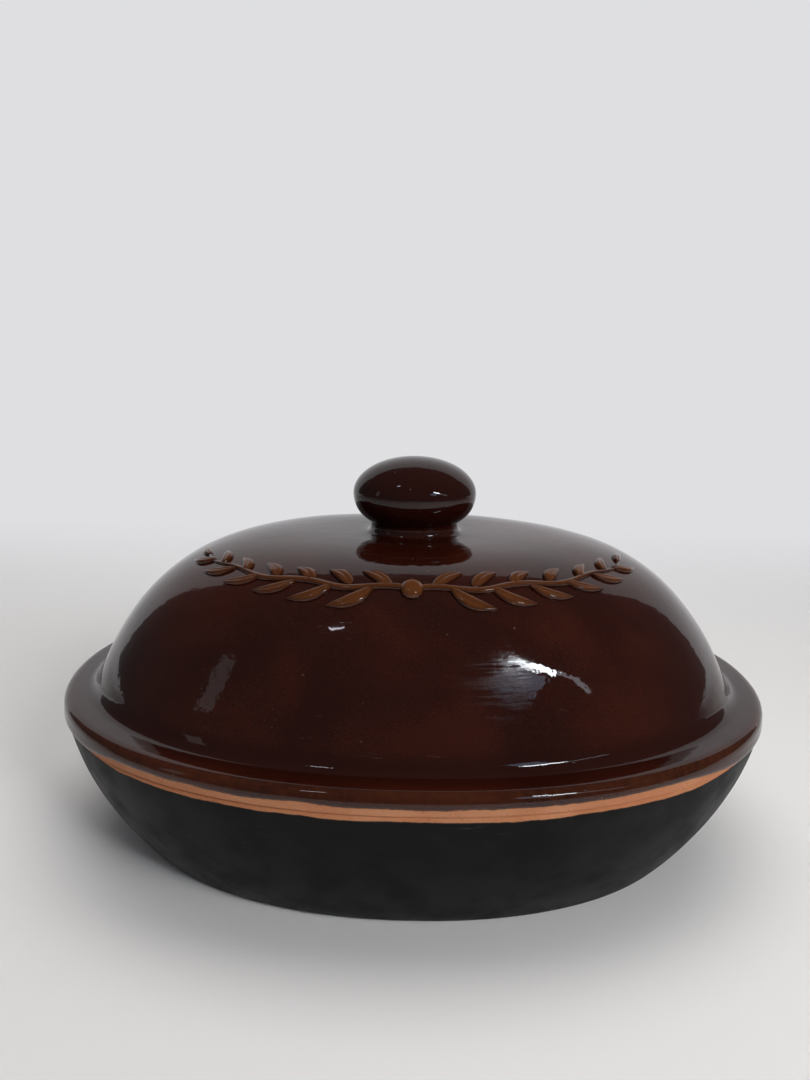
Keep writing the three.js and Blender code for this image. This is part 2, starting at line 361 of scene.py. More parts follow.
def clay_band(x, y, outline, width, seed):
    """Millimetres of clay left bare beside a rim, which is next to none at the two ends of the oval."""
    a, b = outline.length / 2, outline.depth / 2
    reach = math.hypot(x / a, y / b)
    front = abs(y / b) / reach if reach > 0.0 else 1.0
    return RIM_CLAY + (width / MM - RIM_CLAY + line_wander(x, y, seed)) * between(front, *BAND_FADE)


# Node helpers


def add(tree, kind, **settings):
    node = tree.nodes.new(kind)
    for key, value in settings.items():
        setattr(node, key, value)
    return node


def plug(tree, socket, value):
    if isinstance(value, bpy.types.NodeSocket):
        tree.links.new(value, socket)
    elif isinstance(value, tuple) and len(value) == 3 and socket.type == "RGBA":
        socket.default_value = (*value, 1.0)
    else:
        socket.default_value = value


def noise(tree, place, scale, detail=2.0, roughness=0.5, distortion=0.0):
    node = add(tree, "ShaderNodeTexNoise")
    for key, value in (("Vector", place), ("Scale", scale), ("Detail", detail), ("Roughness", roughness),
                       ("Distortion", distortion)):
        plug(tree, node.inputs[key], value)
    return node.outputs["Fac"]


def cells(tree, place, scale):
    node = add(tree, "ShaderNodeTexVoronoi", feature="F1")
    plug(tree, node.inputs["Vector"], place)
    node.inputs["Scale"].default_value = scale
    return node


def remap(tree, value, low, high, out_low=0.0, out_high=1.0):
    node = add(tree, "ShaderNodeMapRange", interpolation_type="SMOOTHSTEP")
    for key, given in (("Value", value), ("From Min", low), ("From Max", high), ("To Min", out_low),
                       ("To Max", out_high)):
        plug(tree, node.inputs[key], given)
    return node.outputs["Result"]


def blend(tree, share, first, second):
    node = add(tree, "ShaderNodeMix", data_type="RGBA")
    plug(tree, node.inputs[0], share)
    plug(tree, node.inputs[6], first)
    plug(tree, node.inputs[7], second)
    return node.outputs[2]


def blend_value(tree, share, first, second):
    node = add(tree, "ShaderNodeMix", data_type="FLOAT")
    plug(tree, node.inputs[0], share)
    plug(tree, node.inputs[2], first)
    plug(tree, node.inputs[3], second)
    return node.outputs[0]


def calc(tree, operation, first, second=0.0):
    node = add(tree, "ShaderNodeMath", operation=operation)
    plug(tree, node.inputs[0], first)
    plug(tree, node.inputs[1], second)
    return node.outputs[0]


def times(tree, first, second):
    return calc(tree, "MULTIPLY", first, second)


def turned(tree, place, angle, scale):
    node = add(tree, "ShaderNodeMapping", vector_type="POINT")
    plug(tree, node.inputs["Vector"], place)
    node.inputs["Rotation"].default_value = angle
    node.inputs["Scale"].default_value = scale
    return node.outputs[0]


def bump(tree, height, distance, strength=1.0, normal=None):
    node = add(tree, "ShaderNodeBump")
    plug(tree, node.inputs["Height"], height)
    node.inputs["Distance"].default_value = distance
    node.inputs["Strength"].default_value = strength
    if normal is not None:
        tree.links.new(normal, node.inputs["Normal"])
    return node.outputs["Normal"]


def attribute(tree, name):
    return add(tree, "ShaderNodeAttribute", attribute_name=name).outputs["Fac"]


def new_material(name):
    material = bpy.data.materials.new(name)
    material.use_nodes = True
    tree = material.node_tree
    tree.nodes.clear()
    surface = add(tree, "ShaderNodeBsdfPrincipled")
    output = add(tree, "ShaderNodeOutputMaterial")
    tree.links.new(surface.outputs["BSDF"], output.inputs["Surface"])
    place = add(tree, "ShaderNodeTexCoord").outputs["Object"]
    return material, tree, surface, place


def new_group(name, inputs, outputs):
    """A node group with its inner sockets, or with none if it was made before."""
    if name in bpy.data.node_groups:
        return bpy.data.node_groups[name], None, None
    group = bpy.data.node_groups.new(name, "ShaderNodeTree")
    for way, sockets in (("INPUT", inputs), ("OUTPUT", outputs)):
        for label, kind in sockets.items():
            group.interface.new_socket(name=label, in_out=way, socket_type="NodeSocket" + kind)
    entry, leave = add(group, "NodeGroupInput"), add(group, "NodeGroupOutput")
    return group, entry.outputs, leave.inputs


def use_group(tree, group, **values):
    node = add(tree, "ShaderNodeGroup", node_tree=group)
    for key, value in values.items():
        plug(tree, node.inputs[key.replace("_", " ")], value)
    return node.outputs


def coat_edge_group():
    """Where a coat of glaze or slip ends: an uneven line, and the thin rim of the coat beside it."""
    group, given, made = new_group(
        "coat_edge",
        {"Place": "Vector", "Edge": "Float", "Unevenness": "Float", "Rim Width": "Float"},
        {"Bare": "Float", "Rim": "Float"},
    )
    if given is None:
        return group
    quick = calc(group, "SUBTRACT", noise(group, given["Place"], 260.0, 3.0, 0.6), 0.5)
    drift = times(group, quick, given["Unevenness"])
    line = calc(group, "ADD", given["Edge"], drift)
    group.links.new(remap(group, line, -0.12, 0.12), made["Bare"])
    inner = times(group, given["Rim Width"], -1.0)
    group.links.new(remap(group, line, inner, -0.05), made["Rim"])
    return group


def clay_grain_group():
    """Fired clay: sandy grains, small pits and slow patches of colour."""
    group, given, made = new_group(
        "clay_grain", {"Place": "Vector", "Clay": "Color", "Pale": "Color"},
        {"Color": "Color", "Height": "Float"},
    )
    if given is None:
        return group
    patches = remap(group, noise(group, given["Place"], 60.0, 3.0), 0.35, 0.68)
    grains = remap(group, noise(group, given["Place"], 1500.0, 2.0, 0.6), 0.56, 0.74)
    pits = remap(group, cells(group, given["Place"], 520.0).outputs["Distance"], 0.08, 0.22, 1.0, 0.0)
    base = blend(group, times(group, patches, 0.45), given["Clay"], given["Pale"])
    base = blend(group, times(group, grains, 0.5), base, given["Pale"])
    # The pits are also darkened in colour: painted shade inside the pits.
    base = blend(group, times(group, pits, 0.35), base, (0.09, 0.035, 0.018))
    group.links.new(base, made["Color"])
    grit = noise(group, given["Place"], 1100.0, 3.0, 0.6)
    group.links.new(calc(group, "SUBTRACT", grit, times(group, pits, 0.5)), made["Height"])
    return group


def scratch_group():
    """Fine straight scratches from wiping and stacking, in three directions."""
    group, given, made = new_group("fine_scratches", {"Place": "Vector"}, {"Scratches": "Float"})
    if given is None:
        return group
    total = None
    for angle, seed in (((0.2, 0.3, 0.6), 0.0), ((0.5, -0.2, -0.5), 3.1), ((-0.3, 0.6, 1.7), 7.7)):
        along = turned(group, given["Place"], angle, (36.0, 1500.0, 900.0))
        lines = remap(group, noise(group, along, 1.0, 1.0, 0.5), 0.71, 0.78)
        area = turned(group, given["Place"], (seed, seed, 0.0), (1.0, 1.0, 1.0))
        part = times(group, lines, remap(group, noise(group, area, 34.0), 0.48, 0.66))
        total = part if total is None else calc(group, "MAXIMUM", total, part)
    group.links.new(total, made["Scratches"])
    return group


# Finishes


def show_clay(tree, place, bowl, skin, line, rim, clay_rough, step=0.0):
    """Ends a coat in an uneven line with bare clay beyond. A skin is a colour, a roughness and a normal."""
    base, rough, normal = skin
    unevenness, rim_width = line
    edge = use_group(
        tree, coat_edge_group(), Place=place, Edge=attribute(tree, "bare"), Unevenness=unevenness,
        Rim_Width=rim_width
    )
    bare = edge["Bare"]
    clay = use_group(
        tree, clay_grain_group(), Place=place, Clay=tuple(bowl.clay), Pale=tuple(bowl.clay_pale)
    )
    rim_share, rim_colour = rim
    base = blend(tree, times(tree, edge["Rim"], rim_share), base, rim_colour)
    base = blend(tree, bare, base, clay["Color"])
    rough = blend_value(tree, bare, rough, clay_rough)
    if step:
        normal = bump(tree, calc(tree, "SUBTRACT", 1.0, bare), step, 0.7, normal)
    return base, rough, bump(tree, times(tree, clay["Height"], bare), 0.10 * MM, 0.6, normal)


def set_surface(tree, surface, base, rough, normal):
    for key, value in (("Base Color", base), ("Roughness", rough), ("Normal", normal)):
        tree.links.new(value, surface.inputs[key])


def rubbed_strokes(tree, place):
    """Short strokes on a patch of the dome's front that was rubbed by hand."""
    patch = add(tree, "ShaderNodeVectorMath", operation="DISTANCE")
    tree.links.new(place, patch.inputs[0])
    patch.inputs[1].default_value = (0.030, -0.079, 0.099)
    strokes = noise(tree, turned(tree, place, (0.0, 0.25, 0.1), (45.0, 300.0, 1100.0)), 1.0, 3.0, 0.6)
    near = remap(tree, patch.outputs["Value"], 0.009, 0.020, 1.0, 0.0)
    return times(tree, near, remap(tree, strokes, 0.40, 0.62))


def glaze_finish(lid, bowl, name, ornament=False):
    """Dark brown gloss glaze that breaks amber over edges and ends in an uneven line above bare clay."""
    material, tree, surface, place = new_material(name)
    warm = remap(tree, noise(tree, place, 20.0, 4.0, 0.55, 0.4), 0.36, 0.70)
    speckle = remap(tree, noise(tree, place, 1900.0, 3.0, 0.7), 0.47, 0.70)
    # The pooled-glaze mask keeps warm clouds and speckle off the crease at the dome's foot, where glaze
    # really pools, and off the whole knob, where it is painted shade.
    clear = calc(tree, "SUBTRACT", 1.0, attribute(tree, "thick"))
    base = blend(tree, times(tree, warm, clear), tuple(lid.glaze), tuple(lid.glaze_warm))
    speckle = times(tree, times(tree, speckle, clear), 0.50)
    base = blend(tree, speckle, base, (0.047, 0.0100, 0.0048))
    thin = attribute(tree, "thin")
    broken = calc(tree, "ADD", thin, times(tree, noise(tree, place, 300.0, 4.0, 0.6), 0.42))
    broken = remap(tree, broken, 0.34, 1.12)
    base = blend(tree, broken, base, tuple(lid.glaze_amber))
    dust = cells(tree, place, 130.0)
    fleck = remap(tree, dust.outputs["Distance"], 0.035, 0.06, 1.0, 0.0)
    chosen = add(tree, "ShaderNodeSeparateColor")
    tree.links.new(dust.outputs["Color"], chosen.inputs[0])
    fleck = times(tree, fleck, remap(tree, chosen.outputs[0], 0.72, 0.74))
    base = blend(tree, times(tree, fleck, 0.30), base, (0.22, 0.17, 0.14))
    scratches = use_group(tree, scratch_group(), Place=place)["Scratches"]
    cloudy = remap(tree, noise(tree, place, 55.0, 3.0), 0.42, 0.74, 0.030, 0.085)
    rough = calc(tree, "ADD", cloudy, times(tree, scratches, 0.28))
    fine_peel = times(tree, noise(tree, place, 420.0, 1.0), 0.18)
    normal = bump(tree, calc(tree, "ADD", noise(tree, place, 150.0, 2.0), fine_peel), 0.16 * MM, 0.55)
    normal = bump(tree, times(tree, scratches, -0.6), 0.03 * MM, 0.6, normal)
    if not ornament:
        strokes = rubbed_strokes(tree, place)
        rough = calc(tree, "ADD", rough, times(tree, strokes, 0.20))
        normal = bump(tree, strokes, 0.015 * MM, 0.5, normal)
        base, rough, normal = show_clay(
            tree, place, bowl, (base, rough, normal), line=(0.9, 1.0), rim=(0.75, tuple(lid.glaze_amber)),
            clay_rough=0.82, step=0.35 * MM
        )
    set_surface(tree, surface, base, rough, normal)
    surface.inputs["IOR"].default_value = 1.45
    return material


def black_finish(bowl):
    """Matte black coat, rubbed a little at its edges, above a foot and below a rim of bare clay."""
    material, tree, surface, place = new_material("matte_black_coat")
    patches = remap(tree, noise(tree, place, 30.0, 4.0, 0.6), 0.38, 0.72)
    grain = noise(tree, place, 900.0, 3.0, 0.6)
    base = blend(tree, times(tree, patches, 0.35), tuple(bowl.black), tuple(bowl.black_worn))
    base = blend(tree, remap(tree, grain, 0.60, 0.78, 0.0, 0.5), base, tuple(bowl.black_worn))
    scratches = use_group(tree, scratch_group(), Place=place)["Scratches"]
    base = blend(tree, times(tree, scratches, 0.35), base, (0.05, 0.048, 0.046))
    rough = remap(tree, noise(tree, place, 70.0, 3.0), 0.35, 0.70, 0.44, 0.58)
    height = calc(tree, "ADD", grain, times(tree, noise(tree, place, 210.0, 2.0), 0.8))
    skin = base, rough, bump(tree, height, 0.07 * MM, 0.55)
    skin = show_clay(
        tree, place, bowl, skin, line=(0.8, 0.7), rim=(0.30, (0.045, 0.028, 0.020)), clay_rough=0.84
    )
    set_surface(tree, surface, *skin)
    surface.inputs["Specular IOR Level"].default_value = 0.12
    return material


def stone_finish(name, body, fleck, veined):
    """River pebble: mottled body, pale mineral flecks and a dry, slightly pitted skin."""
    material, tree, surface, place = new_material(name)
    mottle = noise(tree, place, 180.0, 5.0, 0.6, 0.6)
    dark = tuple(0.55 * part for part in body)
    base = blend(tree, remap(tree, mottle, 0.32, 0.68), dark, body)
    grains = remap(tree, noise(tree, place, 1400.0, 2.0, 0.65), 0.58, 0.70)
    base = blend(tree, times(tree, grains, 0.45), base, fleck)
    if veined:
        bands = noise(tree, turned(tree, place, (0.5, 0.9, 0.2), (1.0, 1.0, 4.0)), 45.0, 3.0, 0.5, 1.2)
        line = calc(tree, "ABSOLUTE", calc(tree, "SUBTRACT", bands, 0.5))
        base = blend(tree, remap(tree, line, 0.004, 0.022, 0.55, 0.0), base, fleck)
    pits = remap(tree, cells(tree, place, 420.0).outputs["Distance"], 0.10, 0.26, 1.0, 0.0)
    height = calc(tree, "SUBTRACT", noise(tree, place, 600.0, 4.0, 0.6), times(tree, pits, 0.5))
    rough = remap(tree, mottle, 0.3, 0.7, 0.52, 0.74)
    set_surface(tree, surface, base, rough, bump(tree, height, 0.16 * MM, 0.6))
    return material


def give_finish(piece, material):
    piece.data.materials.clear()
    piece.data.materials.append(material)
    only(piece)
    bpy.ops.object.shade_smooth()


# Bowl


def bowl_rings(outline, bowl):
    full = Ring(outline.length / 2, outline.depth / 2, 0.0)
    rim = inset(full, bowl.rim_inset)
    mouth = inset(rim, bowl.rim_thickness)
    foot = Ring(bowl.foot_length / 2, bowl.foot_depth / 2, 0.0)
    floor_edge = inset(foot, bowl.rim_thickness + bowl.floor_thickness)
    floor_level = bowl.foot_recess + bowl.floor_thickness
    hollow = inset(foot, bowl.foot_radius + bowl.foot_ring_width)
    wall_top = bowl.height - bowl.rim_radius

    def outer(z):
        up = z / bowl.height
        return lifted(mix(foot, rim, up + bowl.wall_fullness * 4.0 * up * (1.0 - up)), z)

    turns = [(1.0, wall_top), (bowl.wall_sweep, floor_level + (bowl.height - floor_level) * bowl.wall_turn),
             (bowl.floor_sweep, floor_level), (0.0, floor_level)]
    curve = []
    for i in range(CURVE_STEPS + 1):
        t = i / CURVE_STEPS
        weights = ((1 - t) ** 3, 3 * t * (1 - t) ** 2, 3 * t * t * (1 - t), t**3)
        curve.append(tuple(sum(w * p[k] for w, p in zip(weights, turns)) for k in (0, 1)))

    under = inset(hollow, bowl.foot_recess, bowl.foot_recess)
    rings = [lifted(mix(MIDDLE, under, s), bowl.foot_recess) for s in TO_MIDDLE]
    rings += rounded(inset(under, 1 * MM), under, mix(under, hollow, 0.45), 3)
    rings += rounded(mix(under, hollow, 0.55), hollow, inset(hollow, -1.2 * MM), 3)
    foot_inner = inset(foot, bowl.foot_radius)
    rings.append(mix(hollow, foot_inner, 0.5))
    rings += rounded(foot_inner, foot, outer(bowl.foot_radius), 5)
    rings += [outer(bowl.foot_radius + (wall_top - bowl.foot_radius) * i / 22) for i in range(1, 22)]
    rim_outer = inset(rim, bowl.rim_radius, bowl.height)
    rim_inner = inset(mouth, -bowl.rim_radius, bowl.height)
    rings += rounded(outer(wall_top), lifted(rim, bowl.height), rim_outer, 5)
    rings += [mix(rim_outer, rim_inner, s) for s in (0.33, 0.67)]
    rings += rounded(rim_inner, lifted(mouth, bowl.height), lifted(mouth, wall_top), 5)
    rings += [lifted(mix(floor_edge, mouth, x), z) for x, z in even_points(curve, 26)[1:]]
    rings += [lifted(mix(MIDDLE, floor_edge, s), floor_level) for s in reversed(TO_MIDDLE)]
    return rings


class BAKER_OT_bowl(bpy.types.Operator):
    """Model the black bowl with its bare clay rim and foot"""

    bl_idname = "baker.bowl"
    bl_label = "Bowl"

    def execute(self, context):
        outline, bowl = context.scene.baker_outline, context.scene.baker_bowl
        piece = draw_skin("bowl_coated", bowl_rings(outline, bowl), outline)
        foot = Ring(bowl.foot_length / 2, bowl.foot_depth / 2, 0.0)
        # Only the outer wall wanders, and not near the foot or the rim
        outer_share = [
            between(p.co.z, 6 * MM, 20 * MM) * between(p.co.z, bowl.height - 2 * MM, bowl.height - 12 * MM)
            if p.normal.z < 0.2 else 0.0 for p in piece.data.vertices
        ]
        wander(piece, outer_share, outline.wander, BOWL_DENTS)
        bare = []
        for point in piece.data.vertices:
            x, y, z = point.co
            if z > bowl.height * 0.6:
                inside = inset_of(x, y, outline) > bowl.rim_inset + bowl.rim_thickness * 0.55
                band = bowl.rim_radius / MM if inside else clay_band(x, y, outline, bowl.clay_band, 2.0)
                bare.append(band - (bowl.height - z) / MM)
            elif z < bowl.foot_recess * 0.7 and abs(x) / foot.a + abs(y) / foot.b > 0.2:
                bare.append(0.2 - z / MM)
            else:
                bare.append(WELL_COATED)
        write_values(piece, "bare", bare)
        give_finish(piece, black_finish(bowl))
        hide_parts("bowl")
        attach(piece, "bowl")
        return {"FINISHED"}


# Lid


def dome_section(lid, spread_out, height, count):
    """Half a dome's section from its crown to its foot, as (outward, upward)."""
    points = []
    for i in range(SECTION_STEPS + 1):
        angle = i / SECTION_STEPS * math.pi / 2
        points.append((
            spread_out * math.sin(angle) ** (2.0 / lid.dome_flatness),
            height * max(0.0, math.cos(angle)) ** (2.0 / lid.dome_steepness),
        ))
    return even_points(points, count)


def dome_drop(lid, share):
    """How far the dome lies below its crown, at a share of the way to its foot."""
    return lid.dome_height * (1.0 - max(0.0, 1.0 - share**lid.dome_flatness) ** (1.0 / lid.dome_steepness))


def lid_levels(lid, bowl):
    """Heights of the seat, the flange's top and the dome's crown."""
    seat = bowl.height + lid.seat_gap
    top = seat + lid.flange_thickness
    return seat, top, top + lid.dome_height


def lid_rings(outline, bowl, lid):
    seat, top, crown = lid_levels(lid, bowl)
    full = Ring(outline.length / 2, outline.depth / 2, 0.0)
    dome_foot = inset(full, lid.flange_width)
    mouth = inset(full, bowl.rim_inset + bowl.rim_thickness)
    lip_outer = inset(mouth, lid.lip_clearance)
    lip_inner = inset(lip_outer, lid.lip_thickness)
    cap = Ring(lid.knob_length / 2, lid.knob_depth / 2, 0.0)
    neck = Ring(lid.neck_length / 2, lid.neck_depth / 2, 0.0)
    widest = crown + lid.knob_height - lid.knob_cap_height
    neck_top = crown + lid.neck_height

    rings = []
    start, steps = 88.5, 16
    for i in range(steps):
        angle = math.radians(start - i * start / steps)
        rings.append(Ring(cap.a * math.cos(angle), cap.b * math.cos(angle),
                          widest + lid.knob_cap_height * math.sin(angle)))
    rings += rounded(lifted(cap, widest), lifted(cap, widest - lid.knob_tuck), lifted(neck, neck_top), 9)
    flare = inset(neck, -lid.neck_flare * 1.4)
    rings += rounded(lifted(neck, neck_top - 1 * MM), lifted(neck, crown), lifted(flare, crown), 5)
    join = Ring(dome_foot.a * 0.40, 0.40 * dome_foot.b, 0.0)
    for share in (0.12, 0.28, 0.46, 0.64, 0.82):
        ring = mix(flare, join, share)
        way_down = (ring.a / dome_foot.a + ring.b / dome_foot.b) / 2
        rings.append(lifted(ring, crown - dome_drop(lid, way_down)))
    outside = [
        Ring(dome_foot.a * x / dome_foot.b, x, top + y)
        for x, y in dome_section(lid, dome_foot.b, lid.dome_height, 60)
        if x >= join.b * 0.98 and y > lid.dome_fillet
    ]
    rings += outside
    edge_low = lifted(full, seat + lid.flange_bottom_radius)
    edge_high = lifted(full, top - lid.flange_top_radius)
    rings += rounded(outside[-1], lifted(dome_foot, top), inset(dome_foot, -lid.dome_fillet, top), 7)[1:]
    rings += rounded(inset(full, lid.flange_top_radius, top), lifted(full, top), edge_high, 7)
    rings += [mix(edge_high, edge_low, i / 10) for i in range(1, 10)]
    seat_outer = inset(full, lid.flange_bottom_radius, seat)
    seat_inner = lifted(lip_outer, seat)
    rings += rounded(edge_low, lifted(full, seat), seat_outer, 6)
    rings += [mix(seat_outer, seat_inner, s) for s in (0.3, 0.6, 0.85)]
    end, radius, corner = seat - lid.lip_depth, lid.lip_radius, 0.8 * MM
    rings += rounded(inset(lip_outer, -corner, seat), seat_inner, lifted(lip_outer, seat - corner), 2)
    rings.append(lifted(lip_outer, seat - lid.lip_depth * 0.5))
    rings += rounded(
        lifted(lip_outer, end + radius), lifted(lip_outer, end), inset(lip_outer, radius, end), 4
    )
    rings += rounded(
        inset(lip_inner, -radius, end), lifted(lip_inner, end), lifted(lip_inner, end + radius), 4
    )
    inner_foot = inset(dome_foot, lid.wall)
    inner = [
        Ring(inner_foot.a * x / inner_foot.b, x, top + y)
        for x, y in dome_section(lid, inner_foot.b, lid.dome_height - lid.wall, 34)
        if x > 0.03 * inner_foot.b
    ]
    inner.reverse()
    rings += [mix(rings[-1], inner[0], s) for s in (0.2, 0.45, 0.7)] + inner
    rings.append(Ring(0.02 * inner_foot.a, 0.02 * inner_foot.b, crown - lid.wall))
    return rings


def coat_lid(piece, outline, bowl, lid):
    """Writes where the lid's clay is bare, where its glaze is thin, where it pools in the crease and where
    the knob is darkened as painted shade, and raises the end of the glaze.
    """
    seat, top, crown = lid_levels(lid, bowl)
    lip_end = seat - lid.lip_depth
    lip_inner = bowl.rim_inset + bowl.rim_thickness + lid.lip_clearance + lid.lip_thickness
    widest = crown + lid.knob_height - lid.knob_cap_height
    bare, thin, thick = [], [], []
    for point in piece.data.vertices:
        x, y, z = point.co
        depth = inset_of(x, y, outline)
        if z < top and depth < 5 * MM:
            over = (z - seat) / MM - clay_band(x, y, outline, lid.clay_band, 9.0)
            bare.append(-over)
            bead = GLAZE_BEAD * between(over, -0.15, 0.7) * between(over, 4.2, 1.2)
            point.co += Vector((point.normal.x, point.normal.y, 0.0)) * bead
        elif z < seat + 0.5 * MM:
            inside = depth > lip_inner - 1.2 * MM
            bare.append((lip_end + 3.5 * MM - z) / MM if inside else 3.0)
        else:
            bare.append(WELL_COATED)
        flange = between(z, seat + 2 * MM, top - 3 * MM) if z < top + MM else 0.0
        edge = between(depth, 5.5 * MM, 1.5 * MM) * flange
        ridge = between(abs(z - widest), 7 * MM, 1 * MM) * between(z, crown + 9 * MM, crown + 12 * MM)
        thin.append(max(0.34 * edge, 0.12 * ridge))
        pool = between(z, top + 9 * MM, top + 2 * MM) * between(depth, 3 * MM, 7 * MM)
        # From its neck up the whole knob is marked too, which darkens it as painted shade; the crease at the
        # dome's foot is real pooled glaze.
        thick.append(max(0.9 * between(z, crown + 2 * MM, crown + 7 * MM), 0.8 * pool))
    for name, values in (("bare", bare), ("thin", thin), ("thick", thick)):
        write_values(piece, name, values)


class BAKER_OT_lid(bpy.types.Operator):
    """Model the glazed lid: knob, dome, flange and locating lip in one skin"""

    bl_idname = "baker.lid"
    bl_label = "Lid"

    def execute(self, context):
        scene = context.scene
        outline, bowl, lid = scene.baker_outline, scene.baker_bowl, scene.baker_lid
        top = lid_levels(lid, bowl)[1]
        piece = draw_skin("lid_glazed", lid_rings(outline, bowl, lid), outline)
        dome_share = [between(p.co.z, top, top + 18 * MM) for p in piece.data.vertices]
        wander(piece, dome_share, outline.wander, DOME_DENTS)
        coat_lid(piece, outline, bowl, lid)
        give_finish(piece, glaze_finish(lid, bowl, "brown_glaze"))
        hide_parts("lid")
        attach(piece, "lid")
        return {"FINISHED"}


# Garland


class DomeWrap:
    """Lays a flat drawing on the front of the dome: along the garland's ring, up the slope and out."""

    step = 1e-3  # a small change of share or angle, which gives the slope

    def __init__(self, outline, bowl, lid, garland):
        full = Ring(outline.length / 2, outline.depth / 2, 0.0)
        self.foot = inset(full, lid.flange_width)
        self.crown = lid_levels(lid, bowl)[2]
        self.lid, self.power, self.share = lid, outline.power, garland.height_share
        self.angles = [-math.pi / 2 + i / GARLAND_STEPS * math.pi * 0.499 for i in range(GARLAND_STEPS + 1)]
        ring = [self.point(self.share, angle) for angle in self.angles]
        self.runs = [0.0]
        for last, here in zip(ring, ring[1:]):
            self.runs.append(self.runs[-1] + (here - last).length)

    def point(self, share, angle):
        return Vector((
            self.foot.a * share * spread(math.cos(angle), self.power),
            self.foot.b * share * spread(math.sin(angle), self.power),
            self.crown - dome_drop(self.lid, share),
        ))

    def angle_at(self, along):
        run = min(abs(along), self.runs[-1] * 0.999)
        low = bisect_right(self.runs, run) - 1
        (first, second), (start, end) = self.angles[low:low + 2], self.runs[low:low + 2]
        angle = first + (second - first) * (run - start) / max(end - start, 1e-12)
        return angle if along >= 0.0 else -math.pi - angle

    def down_slope(self, share, angle):
        return self.point(share + self.step, angle) - self.point(share - self.step, angle)

    def lay(self, along, up, out):
        angle = self.angle_at(along)
        slope = self.down_slope(self.share, angle).length / (2 * self.step)
        share = self.share - up / slope
        across = self.point(share, angle + self.step) - self.point(share, angle - self.step)
        return self.point(share, angle) + self.down_slope(share, angle).cross(across).normalized() * out


def model_leaf(garland):
    """One leaf lying along +X from its stalk at the origin: pointed, crowned, grooved along its middle."""
    deselect()
    bpy.ops.mesh.primitive_uv_sphere_add(
        segments=28, ring_count=18, radius=1.0, rotation=(0.0, math.pi / 2, 0.0)
    )
    leaf = bpy.context.object
    bpy.ops.object.transform_apply(location=False, rotation=True, scale=False)
    for point in leaf.data.vertices:
        x, y, z = point.co
        along = min(1.0, max(0.0, (x + 1.0) / 2.0))
        girth = max(TINY, math.sqrt(max(0.0, 1.0 - x * x)))
        across, up = y / girth, z / girth
        shape = (along**0.62) * ((1.0 - along) ** 0.85) * 1.92
        width = garland.leaf_width / 2 * shape * across
        crown = max(0.0, up) ** 0.8 * (0.35 + 0.65 * shape)
        groove = 0.30 * math.exp(-((across / 0.16) ** 2)) * shape
        rise = garland.leaf_rise * (crown - groove) if up > 0.0 else garland.root * up
        curl = 0.10 * garland.leaf_length * math.sin(math.pi * along)
        point.co = (garland.leaf_length * along, width + curl, rise)
    return leaf


def model_stem(garland):
    """A stem that sways along X and thins towards its ends."""
    deselect()
    bpy.ops.mesh.primitive_cylinder_add(
        vertices=12, radius=garland.stem_radius, depth=2 * garland.reach, rotation=(0.0, math.pi / 2, 0.0)
    )
    stem = bpy.context.object
    bpy.ops.object.transform_apply(location=False, rotation=True, scale=False)
    choose_edges(stem, lambda first, second: abs(first.x - second.x) > garland.reach)
    with editing():
        bpy.ops.mesh.subdivide(number_cuts=STEM_CUTS)
    for point in stem.data.vertices:
        x, y, z = point.co
        taper = 0.45 + 0.55 * between(abs(x), garland.reach, garland.reach * 0.5)
        sway = 1.1 * MM * math.sin(abs(x) / (17 * MM) * math.pi)
        point.co = (x, y * taper + sway, max(-garland.root, z * taper * 0.95))
    return stem


def model_bud(garland):
    """A round bud with a dimple."""
    deselect()
    bpy.ops.mesh.primitive_uv_sphere_add(segments=28, ring_count=16, radius=1.0)
    bud = bpy.context.object
    for point in bud.data.vertices:
        x, y, z = point.co
        rise = 1.35 * garland.leaf_rise * z if z > 0.0 else garland.root * z
        dimple = 0.55 * MM * math.exp(-((math.hypot(x, y) / 0.3) ** 2)) if z > 0.0 else 0.0
        point.co = (garland.bud_radius * x, garland.bud_radius * y, rise - dimple)
    return bud


def copy_leaf(leaf, place, mirrored=False):
    """A leaf with its own mesh, at its place on the flat garland."""
    copy = leaf.copy()
    copy.data = leaf.data.copy()
    bpy.context.scene.collection.objects.link(copy)
    copy.data.transform(place)
    if mirrored:
        copy.data.flip_normals()
    return copy


def lay_leaves(leaf, garland):
    """Leaves along both sides of the stem, smaller towards its ends, with one at each end."""
    leaves = []
    gap = (garland.reach - garland.bud_radius - 6 * MM) / garland.pairs
    for side in (1, -1):
        for pair in range(garland.pairs):
            size = 1.0 - 0.30 * pair / garland.pairs
            for upper in (1, -1):
                x = side * (garland.bud_radius + 3 * MM + gap * (pair + (0.0 if upper > 0 else 0.45)))
                tilt = upper * math.radians(31 if upper > 0 else 34)
                mirror = upper * side
                leaves.append(copy_leaf(
                    leaf,
                    Matrix.Translation((x, 0.0, 0.0))
                    @ Matrix.Rotation(tilt if side > 0 else math.pi - tilt, 4, "Z")
                    @ Matrix.Diagonal((size, size * mirror, 0.85 + 0.15 * size, 1.0)),
                    mirror < 0,
                ))
    for side in (1, -1):
        leaves.append(copy_leaf(
            leaf,
            Matrix.Translation((side * (garland.reach - 3 * MM), 0.0, 0.0))
            @ Matrix.Rotation(0.0 if side > 0 else math.pi, 4, "Z")
            @ Matrix.Diagonal((0.7, 0.7, 0.85, 1.0)),
        ))
    return leaves


